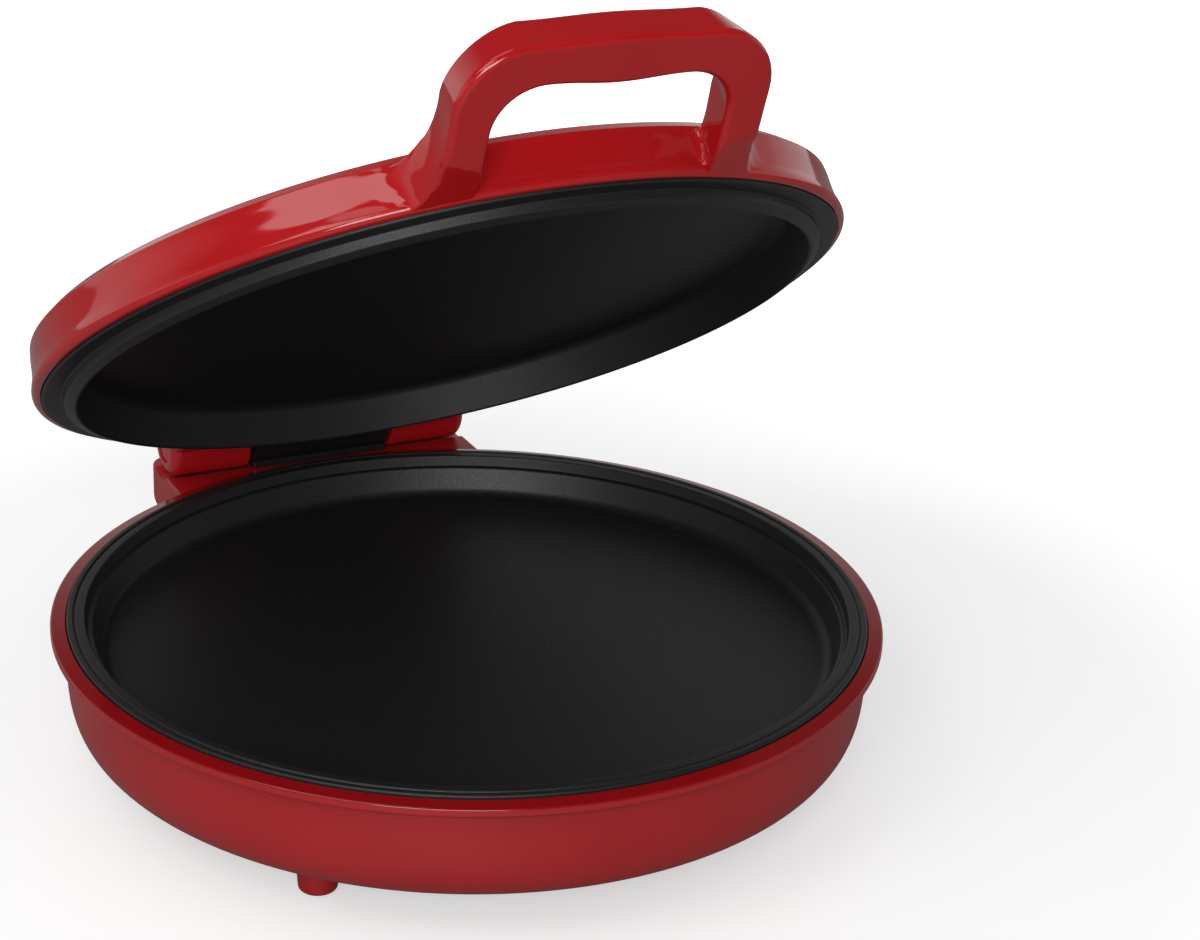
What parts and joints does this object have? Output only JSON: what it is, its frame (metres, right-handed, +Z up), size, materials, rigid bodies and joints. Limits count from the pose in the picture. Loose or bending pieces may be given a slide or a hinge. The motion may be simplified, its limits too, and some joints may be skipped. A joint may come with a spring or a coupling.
{
  "type": "electric pizza maker",
  "caption": "Round countertop pizza maker with a hinged lid, ribbed-rim pan, bowl-shaped base on peg feet and a loop handle.",
  "frame": {"origin": "centre of the object's footprint, on the surface it stands on", "axes": "+Z up, -Y towards the front with the lid's handle, +X to the right seen from the front"},
  "size_m": [0.332, 0.367, 0.326],
  "materials": {
    "gloss_red": "moulded high gloss",
    "satin_red": "moulded satin",
    "nonstick": "cast, black non-stick coating",
    "black_plastic": "fine satin",
    "rubber": "matte",
    "steel": "zinc plated",
    "sheet": "aluminised sheet",
    "element": "oxidised sheath",
    "ceramic": "unglazed ceramic",
    "sleeve": "braided glass sleeve",
    "nylon": "natural nylon",
    "red_lens": "translucent, polished",
    "green_lens": "translucent, polished"
  },
  "bodies": {
    "base": {"base_shell": "satin_red", "foot_pad_front_left": "rubber", "foot_pad_front_right": "rubber", "foot_pad_back_left": "rubber", "foot_pad_back_right": "rubber", "lower_plate": "nonstick", "plate_screw_1": "steel", "plate_screw_2": "steel", "plate_screw_3": "steel", "plate_screw_4": "steel", "lower_element": "element", "lower_clip_1": "steel", "lower_clip_2": "steel", "lower_clip_3": "steel", "lower_heat_shield": "sheet", "lower_thermostat": "steel", "lower_fuse": "ceramic", "terminal_block": "ceramic", "mains_lead_left": "sleeve", "mains_lead_right": "sleeve", "element_lead_left": "sleeve", "element_lead_right": "sleeve", "cord_gland": "black_plastic", "hinge_block": "black_plastic", "hinge_block_screw_left": "steel", "hinge_block_screw_right": "steel", "hinge_rod": "steel", "rod_clip_left": "steel", "rod_clip_right": "steel"},
    "lid": {"lid_cover": "gloss_red", "handle_back": "gloss_red", "handle_screw_left": "steel", "handle_screw_right": "steel", "hinge_bush_left": "nylon", "hinge_bush_right": "nylon", "hinge_cap_left": "gloss_red", "hinge_cap_right": "gloss_red", "upper_plate": "nonstick", "upper_element": "element", "upper_clip_1": "steel", "upper_clip_2": "steel", "upper_clip_3": "steel", "upper_heat_shield": "sheet", "shield_screw_1": "steel", "shield_screw_2": "steel", "shield_screw_3": "steel", "shield_screw_4": "steel", "upper_thermostat": "steel", "upper_fuse": "ceramic", "power_lens": "red_lens", "power_lamp": "ceramic", "ready_lens": "green_lens", "ready_lamp": "ceramic"}
  },
  "joints": [
    {"name": "lid_hinge", "type": "hinge", "parent": "base", "child": "lid", "pos_m": [0, 0.1598, 0.0719], "axis": [-1, 0, 0], "range_deg": [-36.2, 53.8]}
  ]
}
